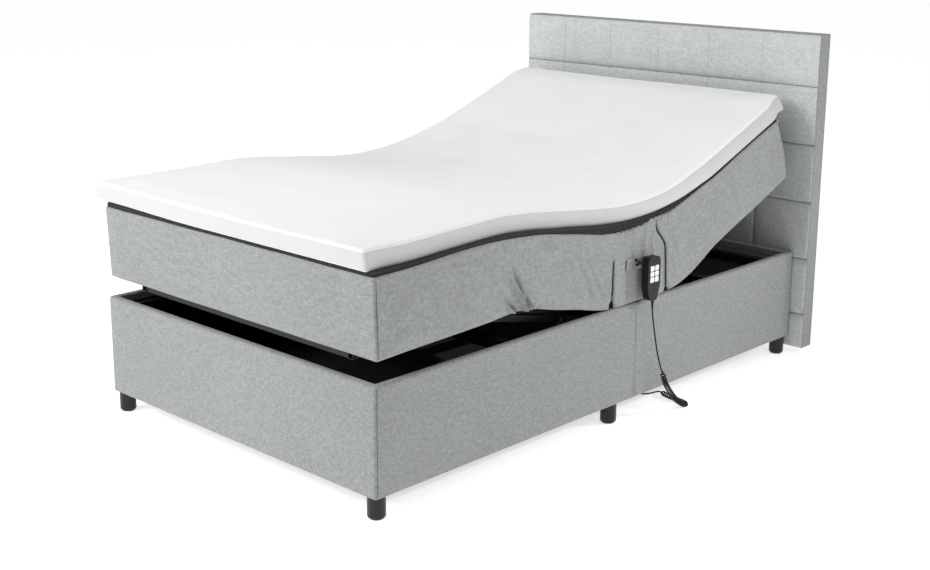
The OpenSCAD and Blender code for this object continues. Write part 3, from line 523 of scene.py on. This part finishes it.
def edge_h(u, x=0.0):
    """Height of the top edge of the grey cover above the hinges."""
    foot_drop = 0.0016 * smooth((-0.70 - u) / 0.15)
    knee_hollow = 0.0104 * smooth((u + 0.618) / 0.14) * smooth((-0.275 - u) / 0.205)
    seat_swell = 0.0114 * smooth((u + 0.29) / 0.235)
    back_hill = 0.0218 * smooth((u - 0.022) / 0.245)
    return TOP_H - foot_drop - knee_hollow + (seat_swell + back_hill) * smooth((0.564 - u) / 0.292)


def ticking_h(u, x=0.0):
    """Height of the dark ticking, which stands up above that edge and which the topper lies on."""
    foot_lift = 0.0062 * smooth((-0.87 - u) / 0.18)
    knee_lift = 0.0026 * bump(u, -0.51, 0.06)
    seat_hill = 0.0153 * smooth((u + 0.555) / 0.40) * smooth((0.60 - u) / 0.53) + 0.0047 * bump(u, -0.09, 0.10)
    far_foot = 0.008 * smooth((-0.15 - np.asarray(x)) / 0.45) * smooth((-0.6 - u) / 0.35)
    return edge_h(u) + 0.0018 + foot_lift + knee_lift + seat_hill + far_foot


def over_seat(u):
    """1 between the thigh and the back, where the cloth is pushed together."""
    return smooth((u + 0.11) / 0.07) * smooth((0.36 - u) / 0.10)


def back_slit_u(h):
    return BACK_SLIT - 0.058 * smooth((h - 0.165) / 0.08)


def thigh_slit_u(h):
    return THIGH_SLIT - 0.083 * h


def slit_shift(u, h):
    """Leans the grid along the slits, so that each runs between the same lines all the way up."""
    back = (back_slit_u(h) - BACK_SLIT) * smooth((0.148 - np.abs(u - BACK_SLIT)) / 0.134)
    thigh = (thigh_slit_u(h) - THIGH_SLIT) * smooth((0.12 - np.abs(u - THIGH_SLIT)) / 0.10)
    return back + thigh


def slits(u, h):
    """Depth of the open slits between the sections: each widens to a wedge at the bottom."""
    wedge = 0.007 * smooth((0.036 - h) / 0.016)
    back = smooth((0.262 - h) / 0.02) * bump(u - back_slit_u(h) - 0.8 * wedge, 0, 0.0040 + wedge)
    wedge = 0.006 * smooth((0.046 - h) / 0.016)
    pinch = 1 - 0.75 * bump(h, 0.050, 0.004)
    thigh = smooth((0.168 - h) / 0.01) * pinch * bump(u - thigh_slit_u(h), 0, 0.0040 + wedge)
    return 0.018 * np.maximum(back, thigh)


# Upright folds beside the handset and behind the back slit: u, lean, depth, lowest and highest h
UPRIGHT_FOLDS = ((0.085, 0.05, 0.0040, 0.06, 0.25), (0.135, -0.10, 0.0030, 0.03, 0.22),
                 (0.03, 0.12, 0.0025, 0.10, 0.26), (0.285, -0.35, 0.0030, 0.08, 0.24),
                 (0.255, -0.18, 0.0025, 0.02, 0.16))
# Creases from the middle of the thigh down to its slit: u, lean, depth, width
THIGH_CREASES = ((-0.205, 0.92, 0.0048, 0.016), (-0.262, 0.80, 0.0042, 0.019),
                 (-0.160, 1.05, 0.0028, 0.013))
# Folds that fan out from the bottom of the knee: u, lean, depth, height
KNEE_FOLDS = ((-0.466, -0.50, 0.0330, 0.100), (-0.440, -0.80, 0.0180, 0.040), (-0.505, -1.00, 0.0160, 0.042),
              (-0.420, 0.10, 0.0040, 0.022))


def side_relief(u, h, side):
    """How far the cloth stands out on a long side: slits, stitched edges, gathers and creases."""
    out = 0.0012 * np.sin(17 * u + side) * np.sin(23 * h + 2 * side) - slits(u, h)
    d = u - back_slit_u(h)
    gone = smooth((0.262 - h) / 0.02)
    out = out + gone * (0.0016 * bump(d, -0.007, 0.003) + 0.0016 * bump(d, 0.007, 0.003)
                        - 0.0008 * bump(np.abs(d), 0.0125, 0.0012))
    d = u - thigh_slit_u(h)
    out = out + 0.0012 * smooth((0.168 - h) / 0.01) * bump(np.abs(d), 0.008, 0.003)
    # gathers hanging from the top edge over the seat
    top = edge_h(u) - h
    rows = 0.5 + 0.5 * np.sin(2 * math.pi * (u + 0.012 * np.sin(31 * u) + 0.004 * np.sin(83 * u)) / 0.030)
    reach = 0.026 + 0.016 * np.sin(57 * u + 1)
    out = out + 0.0038 * over_seat(u) * rows ** 2 * np.exp(-(top / reach) ** 2)
    for at, lean, depth, low, high in UPRIGHT_FOLDS:
        span = smooth((h - low) / 0.04) * smooth((high - h) / 0.05)
        out = out + depth * span * bump(u - lean * (h - 0.14), at, 0.011)
    for at, lean, depth, width in THIGH_CREASES:
        span = smooth((h - 0.035) / 0.03) * smooth((0.185 - h) / 0.06)
        out = out + span * (depth * bump(u + lean * (h - 0.11), at, width)
                            - 0.6 * depth * bump(u + lean * (h - 0.11), at + 1.6 * width, width))
    for at, lean, depth, reach in KNEE_FOLDS:
        low = np.maximum(h - UNDER_H, 0)
        width = 0.0055 + 0.07 * low
        line = u - at - lean * low
        fade = np.exp(-(low / reach) ** 2)
        out = out + fade * depth * (0.7 * bump(line, -0.012, width) - bump(line, 0, 0.62 * width))
    return out


def end_relief(x, h):
    """Slight unevenness of the foot and head faces."""
    return 0.0015 * np.sin(5.2 * x + 0.6) * np.sin(13 * h) + 0.0008 * np.sin(21 * x + 9 * h)


# Stretches with folds or a slit, and the spacing of the grid there
FINE_RUNS = ((-0.54, -0.36, 0.003), (-0.094, -0.050, 0.0018), (0.135, 0.232, 0.0025))


def mattress_piece(name, low, high, finishes, top, bottom, sides, radius, ends, relief, step):
    """Closed soft block between two stations of the mattress; ends says which are its real ends."""
    low_r, high_r = (radius[1] if e else 0 for e in ends)
    dense = [run for run in FINE_RUNS if relief and run[0] >= low and run[1] <= high]
    us = lines(low, high, step, low_r, high_r, dense + cut_rows(low, high, ends))
    xs = lines(-sides, sides, 0.045, radius[0], radius[0])
    k_r = radius[2] / COVER_H
    hs = lines(0, 1, 0.021, k_r, k_r) if relief else lines(0, 1, 0.25, 0.3, 0.3)
    p, faces = lattice(xs, us, hs)
    shaped = rounded(p * (1, 1, COVER_H), (-sides, low if ends[0] else low - FAR_OFF, 0),
                     (sides, high if ends[1] else high + FAR_OFF, COVER_H), radius)
    x, u, k = shaped[:, 0], shaped[:, 1], shaped[:, 2] / COVER_H
    h = bottom(u, x) + (top(u, x) - bottom(u, x)) * k
    if relief:
        u = u + slit_shift(u, h)
        on_side = smooth((np.abs(x) - (sides - 0.014)) / 0.012)
        x = x + np.sign(x) * on_side * side_relief(u, h, np.sign(x))
        for end, at, sign in ((ends[0], low, -1), (ends[1], high, 1)):
            if end:
                u = u + sign * smooth((0.012 - np.abs(u - at)) / 0.012) * end_relief(x, h)
        pleats = 0.0022 * np.sin(2 * math.pi * (u + 0.010 * np.sin(31 * u)) / 0.027)
        h = h + pleats * on_side * smooth((k - 0.9) / 0.1) * over_seat(u)
    y, z = bent(u, h)
    which = None
    if relief:      # the underside has a cloth of its own; the insides of the slits take a near-black cloth as painted shade
        which = (p[faces].mean(1)[:, 2] < 1e-6).astype(int)
        # faces deep in the slits take the near-black painted shade
        in_slit = (slits(u, h)[faces].mean(1) > 0.0060) & (np.abs(x)[faces].min(1) > sides - 0.045)
        which[in_slit & (which == 0)] = 2
    return piece(name, np.stack([x, y, z], -1), faces, finishes, which)


# Piece, its stations, the bodies it joins, the zone it bends in, and the CAD sections it replaces
SECTIONS = (("foot", FOOT_U, THIGH_CUT, "thigh", "calf", KNEE_ZONE, ("calf",)),
            ("knee", THIGH_CUT, SEAT_CUT, "base", "thigh", THIGH_ZONE, ("thigh",)),
            ("head", SEAT_CUT, HEAD_U, "base", "back", BACK_ZONE, ("seat", "back")))
for label, low, high, body_a, body_b, zone, nodes in SECTIONS:
    ends = (low == FOOT_U, high == HEAD_U)
    cover = mattress_piece(f"mattress_cover_{label}", low, high, [grey_fabric, under_cloth, painted_shade_cloth],
                           edge_h, under_h, SIDE_X, (0.007, 0.007, 0.007), ends, True, 0.005)
    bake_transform(cover)
    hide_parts(*[f"{n}_{part}" for n in nodes for part in ("cover", "core", "board")])
    ticking = mattress_piece(f"mattress_ticking_{label}", low + 0.003 * ends[0], high - 0.003 * ends[1],
                             [ticking_cloth], ticking_h, lambda u, x: edge_h(u) - 0.012, SIDE_X - 0.003,
                             (0.008, 0.008, 0.09), ends, False, 0.008)
    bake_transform(ticking)

# ------------------------------------------------------------------ topper


def topper_piece(name, low, high, ends):
    """Stretch of the loose topper, lying on the ticking and crept sideways towards the head."""
    r = TOPPER_R
    us = lines(low, high, 0.008, r if ends[0] else 0, r if ends[1] else 0, cut_rows(low, high, ends))
    xs = lines(*TOPPER_X, 0.02, r, r)
    hs = lines(0, TOPPER_T, 0.004, r, r)
    p, faces = lattice(xs, us, hs)
    q = rounded(p, (TOPPER_X[0], low if ends[0] else low - FAR_OFF, 0),
                (TOPPER_X[1], high if ends[1] else high + FAR_OFF, TOPPER_T), (r, r, r))
    x, u, t = q.T
    k = t / TOPPER_T
    near, far = smooth((x - 0.40) / 0.15), (TOPPER_X[1] - x) / (TOPPER_X[1] - TOPPER_X[0])
    from_side = np.minimum(x - TOPPER_X[0], TOPPER_X[1] - x)
    from_end = np.minimum(u - TOPPER_U[0], TOPPER_U[1] - u)
    crown = 0.007 * smooth(from_side / 0.12) * smooth(from_end / 0.12) - 0.004
    waves = 0.0012 * np.sin(9 * x + 3 * u) * np.sin(5 * u + 1.3 * x)
    over = np.clip(u - HEAD_U, 0, None) / (TOPPER_U[1] - HEAD_U)
    head_drop = -0.014 * over ** 1.5
    h = ticking_h(np.minimum(u, HEAD_U), x) - 0.001 + t + k * (crown + waves) + head_drop
    bulge = 0.003 * np.sin(math.pi * np.clip(k, 0, 1))
    x = x + bulge * (smooth((x - TOPPER_X[1] + 0.03) / 0.03) - smooth((TOPPER_X[0] + 0.03 - x) / 0.03))
    # the creep, the lean of the near side, and the corner that stands out at the near foot
    x = x + (1 - far) * (0.008 + 0.030 * smooth((u + 0.35) / 0.85)) + far * 0.050 * smooth((u + 0.20) / 1.1)
    x = x - near * (0.018 * k * smooth((u - 0.2) / 0.4) + 0.026 * smooth((u - 0.93) / 0.10))
    x = x + 0.008 * near * smooth((-0.96 - u) / 0.07) * (1 - k)
    y, z = bent(u, h)
    # the side faces take the darker copy of the knit, which is painted shade
    middle = p[faces].mean(1)[:, 2]
    border = ((middle > 0.004) & (middle < TOPPER_T - 0.5 * r)).astype(int)
    return piece(name, np.stack([x, y, z], -1), faces, [topper_fabric, topper_sides_painted_shade],
                 border, crease=60)


# Stretch over which the topper's head end passes from the back to its own sliding body
BACK_GLIDE = (0.635, 0.955)
TOPPER_SECTIONS = (
    ("foot", TOPPER_U[0], THIGH_CUT, "thigh", "calf", KNEE_ZONE, ("calf_topper",)),
    ("knee", THIGH_CUT, SEAT_CUT, "base", "thigh", THIGH_ZONE, ("thigh_topper",)),
    ("seat", SEAT_CUT, BACK_CUT, "base", "back", BACK_ZONE, ("seat_topper",)),
    ("head", BACK_CUT, TOPPER_U[1], "back", "back_topper", BACK_GLIDE, ("back_topper",)))
for label, low, high, body_a, body_b, zone, nodes in TOPPER_SECTIONS:
    part = topper_piece(f"topper_{label}", low, high, (low == TOPPER_U[0], high == TOPPER_U[1]))
    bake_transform(part)
    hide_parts(*nodes)

# ------------------------------------------------------------------ base box

BASE_LOW, BASE_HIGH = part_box("base_cover")
BASE_R = 0.008
CORNER = 6                          # points round each corner
SIDE_RUNS = (24, 40, 24, 40)        # divisions of the sides


def plan(offset):
    """Rounded rectangle round the base, offset outwards from its cloth."""
    r = max(BASE_R + offset, 0.0006)
    points = []
    for sx, sy, first in ((1, -1, -90), (1, 1, 0), (-1, 1, 90), (-1, -1, 180)):
        cx = sx * (BASE_HIGH.x - BASE_R)
        cy = (BASE_HIGH.y - BASE_R) if sy > 0 else (BASE_LOW.y + BASE_R)
        shift = 0 if BASE_R + offset > 0.0006 else BASE_R + offset - 0.0006
        cx, cy = cx + sx * shift, cy + sy * shift
        for a in np.linspace(first, first + 90, CORNER):
            points.append((cx + r * math.cos(math.radians(a)), cy + r * math.sin(math.radians(a))))
    return points


def swept_wall(name, profile, finish):
    """A closed profile of (offset, z) taken round the base."""
    rings = []
    for offset, z in profile:
        ring, corners = [], plan(offset)
        for i, a in enumerate(corners):
            b = corners[(i + 1) % len(corners)]
            n = SIDE_RUNS[((i + 1) // CORNER) % 4] if (i + 1) % CORNER == 0 else 1
            ring += [(a[0] + (b[0] - a[0]) * k / n, a[1] + (b[1] - a[1]) * k / n, z) for k in range(n)]
        rings.append(ring)
    m, n = len(rings), len(rings[0])
    points = [p for ring in rings for p in ring]
    faces = [(i * n + j, i * n + (j + 1) % n, ((i + 1) % m) * n + (j + 1) % n, ((i + 1) % m) * n + j)
             for i in range(m) for j in range(n)]
    return piece(name, points, faces, finish)


# Cloth of the base: up the outside, over the rounded top edge, down the inside, and back behind itself
outer = [(0.0, z) for z in np.linspace(0.067, 0.361, 30)]
lip = [(-0.0085 + 0.0085 * math.cos(a), 0.3615 + 0.0085 * math.sin(a))
       for a in np.linspace(0.15, math.pi / 2, 6)]
lip += [(-0.016 - 0.007 * math.sin(a), 0.363 + 0.007 * math.cos(a)) for a in np.linspace(0.1, math.pi / 2, 6)]
inner = [(-0.023, z) for z in (0.358, 0.350, 0.3425)]
inner += [(-0.0222, 0.3425), (-0.0222, 0.366), (-0.0038, 0.366)]
inner += [(-0.0038, z) for z in (0.3, 0.2, 0.1)] + [(-0.0038, 0.0655), (-0.0006, 0.0652)]
base_cloth = swept_wall("base_upholstery", outer + lip + inner, grey_fabric)
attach(base_cloth, "base")
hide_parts("base_cover")

# A near-black sheet round the inside of the box walls: painted shade for the dark inside of the base
inside_shade_z = np.linspace(0.069, 0.345, 16)
inside_shade_profile = [(-0.0238, z) for z in inside_shade_z[::-1]] + [(-0.0228, z) for z in inside_shade_z]
base_inside_painted_shade = swept_wall("base_inside_painted_shade", inside_shade_profile, painted_shade_cloth)
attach(base_inside_painted_shade, "base")

p, faces = lattice(np.linspace(-0.5735, 0.5735, 30), np.array([0.9375, 0.9388]),
                   np.linspace(0.070, 0.344, 10))
p[:, 1] -= 0.0008 * (1 + np.sin(31 * p[:, 0]) * np.sin(23 * p[:, 2]))
inner_cloth = piece("head_inner_cloth", p, faces, grey_fabric)
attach(inner_cloth, "base")

SEAM_IN, SEAM_R = 0.0075, 0.0011     # distance from the corner, and radius
# Dark tubes down the corner seams: thread colour with painted shade of the groove
for label, sx, sy in (("near_foot", 1, -1), ("near_head", 1, 1), ("far_foot", -1, -1), ("far_head", -1, 1)):
    x = sx * (BASE_HIGH.x - 0.0002)
    y = (BASE_LOW.y + SEAM_IN) if sy < 0 else (BASE_HIGH.y - SEAM_IN)
    route = [(x, y, z) for z in np.linspace(0.068, 0.362, 24)]
    seam = tube(f"base_seam_{label}", route, SEAM_R, seam_thread_and_groove_shade)
    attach(seam, "base")
    hs = np.linspace(UNDER_H + 0.008, edge_h(FOOT_U if sy < 0 else HEAD_U) - 0.008, 20)
    ys, zs = bent(np.full(20, FOOT_U + SEAM_IN if sy < 0 else HEAD_U - SEAM_IN), hs)
    route = [(sx * (SIDE_X + 0.0002), y, z) for y, z in zip(ys, zs)]
    seam = tube(f"mattress_seam_{label}", route, SEAM_R, seam_thread_and_groove_shade)
    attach(seam, "calf" if sy < 0 else "back")

# ------------------------------------------------------------------ headboard

QUILT_LOW, QUILT_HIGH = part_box("headboard_quilt")
BORDER_LOW, BORDER_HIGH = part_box("headboard_border")
# Stitched lines of the quilting, and how deep they lie
SEAMS_X = (-0.650, -0.460, -0.238, -0.016, 0.206, 0.428, 0.650)
SEAMS_Z = (0.022, 0.145, 0.346, 0.547, 0.748, 0.949, 1.127)
PILLOW = 0.012


def pillowed(t, seams, power):
    """Dome from 0 at each seam to 1 in the middle of each panel."""
    i = np.clip(np.searchsorted(seams, t) - 1, 0, len(seams) - 2)
    a, b = np.array(seams)[i], np.array(seams)[i + 1]
    s = np.clip((t - a) / (b - a), 0, 1)
    return 1 - np.abs(2 * s - 1) ** power


def quilt_lines(low, high, seams, near=0.006):
    """Grid lines across the pad, closer at the stitched lines."""
    dense = [(s - near, s + near, near / 3) for s in seams[1:-1]]
    return lines(low + 0.002, high - 0.002, 0.011, 0.005, 0.005, dense)


def headboard_pad():
    """The quilted front: a shallow panel between the stitched lines."""
    xs = quilt_lines(QUILT_LOW.x, QUILT_HIGH.x, SEAMS_X)
    zs = quilt_lines(QUILT_LOW.z, QUILT_HIGH.z, SEAMS_Z)
    front, back = QUILT_LOW.y + 0.0005, QUILT_LOW.y + 0.016
    p, faces = lattice(xs, np.array([front, front + 0.005, back]), zs)
    x, y, z = p.T
    across, upright = pillowed(x, SEAMS_X, 8.0), pillowed(z, SEAMS_Z, 9.0)
    dome = np.clip(upright, 0, 1) ** 0.7 * (0.62 + 0.38 * np.clip(across, 0, 1) ** 0.6)
    wave = 0.0006 * np.sin(41 * x + 9 * z) * np.sin(33 * z + 3 * x)
    depth = (1 - dome) * PILLOW + wave * dome
    y = y + np.where(y < back - 1e-6, depth * np.where(y < front + 1e-6, 1.0, 0.7), 0)
    # the pad's cloth is painted lighter, as painted light on the headboard
    return piece("headboard_quilt_pad", np.stack([x, y, z], -1), faces, quilt_fabric_painted_light)


def headboard_case():
    """The plain cloth round the border and the back."""
    low = Vector((BORDER_LOW.x, QUILT_LOW.y + 0.009, BORDER_LOW.z))
    high, radius = BORDER_HIGH, (0.004, 0.003, 0.004)
    steps = (0.06, 0.015, 0.06)
    p, faces = lattice(*[lines(low[k], high[k], steps[k], radius[k], radius[k]) for k in range(3)])
    return piece("headboard_case", rounded(p, low, high, radius), faces, grey_fabric)


quilt = headboard_pad()
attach(quilt, "base")
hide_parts("headboard_quilt")
case = headboard_case()
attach(case, "base")
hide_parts("headboard_border")
# Piping up one side of the case, over the top and down the other
edge_x, edge_y = BORDER_HIGH.x - 0.0025, QUILT_LOW.y + 0.0098
edge_route = [(-edge_x, edge_y, BORDER_LOW.z + 0.002), (-edge_x, edge_y, BORDER_HIGH.z - 0.008)]
edge_route += [(-edge_x + 0.006 - 0.006 * math.cos(a), edge_y, BORDER_HIGH.z - 0.008 + 0.0055 * math.sin(a))
               for a in np.linspace(0.3, math.pi / 2, 5)]
edge_route += [(-x, y, z) for x, y, z in reversed(edge_route)]
piping = tube("headboard_piping", edge_route, 0.0025, grey_fabric)
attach(piping, "base")

# ------------------------------------------------------------------ handset strap

STRAP_LOW, STRAP_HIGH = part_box("handset_strap")


def strap_piece():
    """Flat tab of cloth from the mattress side to the back of the handset."""
    t, front, back = 0.0018, STRAP_LOW.y, STRAP_HIGH.y      # cloth thickness, and its two ends
    us = lines(front, back, 0.003)
    ks = np.linspace(0, 1, 9)
    p, faces = lattice(np.array([0.0, 1.0]), us, ks)
    s, y, k = p.T
    along = (y - front) / (back - front)
    mid = STRAP_LOW.x + 0.0004 + (STRAP_HIGH.x - STRAP_LOW.x - t - 0.0012) * smooth((along - 0.38) / 0.38)
    low = STRAP_LOW.z + 0.005 * smooth((along - 0.4) / 0.6)
    high = STRAP_HIGH.z - 0.011 * smooth((along - 0.3) / 0.7)
    x = mid + t * s + 0.0006 * np.sin(9 * along + 3 * k)
    rim = 0.0005 * (2 * s - 1) * bump(np.abs(2 * k - 1), 0.8, 0.12)
    points = np.stack([x + rim, y, low + (high - low) * k], -1)
    return piece("handset_tab", points, faces, grey_fabric)


tab = strap_piece()
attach(tab, "base")
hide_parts("handset_strap")

# Two prongs of the black clip that grips the tab
clip_z = STRAP_HIGH.z - 0.012
for n, (dy, dz) in enumerate(((-0.028, 0.011), (-0.022, -0.006))):
    route = through([(0.622, 0.053, clip_z - 0.004), (0.619, 0.045, clip_z - 0.001),
                     (0.617, 0.036, clip_z + 0.4 * dz), (0.615, 0.045 + dy, clip_z + dz)], 0.002)
    prong = tube(f"strap_clip_{n + 1}", route, 0.0048, black_plastic)
    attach(prong, "base")

# ------------------------------------------------------------------ floor and light


FLOOR_HALF, FLOOR_LINES = 90, 41


def stage_floor(paint):
    """A plain floor that reaches past the horizon of the view."""
    n, grid = FLOOR_LINES, np.linspace(-1, 1, FLOOR_LINES) * FLOOR_HALF
    xs, ys = np.meshgrid(grid, grid, indexing="ij")
    ids = np.arange(n * n).reshape(n, n)
    faces = np.stack([ids[:-1, :-1], ids[1:, :-1], ids[1:, 1:], ids[:-1, 1:]], -1).reshape(-1, 4)
    floor = piece("floor", np.stack([xs.ravel(), ys.ravel(), np.zeros(xs.size)], -1), faces, paint)


m = Nodes("floor_paint", 0.8, Emission_Color=(1, 1, 1, 1), Emission_Strength=0.62)
stage_floor(m.colour(m.ramp(m.noise(1.2, 2), (0.3, 0.90), (0.7, 0.915))))

world = bpy.data.worlds.new("studio")
bpy.context.scene.world = world
world.use_nodes = True
world.node_tree.nodes["Background"].inputs["Color"].default_value = (1.0, 1.0, 1.0, 1)
world.node_tree.nodes["Background"].inputs["Strength"].default_value = 0.40


def lamp(name, kind, place, towards, watts, **settings):
    """A lamp aimed at a point."""
    light = bpy.data.lights.new(name, kind)
    light.energy = watts
    for key, value in settings.items():
        setattr(light, key, value)
    obj = bpy.data.objects.new(name, light)
    bpy.context.scene.collection.objects.link(obj)
    obj.location = place
    obj.rotation_mode = "QUATERNION"
    obj.rotation_quaternion = (Vector(towards) - Vector(place)).to_track_quat("-Z", "Y")


lamp("key", "AREA", (-1.6, -4.6, 3.0), (0, 0.6, 0.7), 165, shape="DISK", size=2.2)
lamp("head", "AREA", (-0.5, -1.3, 3.2), (0, 0.95, 0.85), 14, shape="DISK", size=1.2)
lamp("side", "AREA", (4.2, 0.4, 3.0), (0.5, 0, 0.3), 30, shape="DISK", size=1.0)
# this one throws the handset's shadow on the mattress
lamp("beam", "SPOT", (3.6, 3.7, 2.35), (0.6, -0.15, 0.25), 420,
     shadow_soft_size=0.05, spot_size=math.radians(24), spot_blend=1.0)

settings = bpy.context.scene.view_settings
settings.view_transform, settings.look = "Standard", "None"
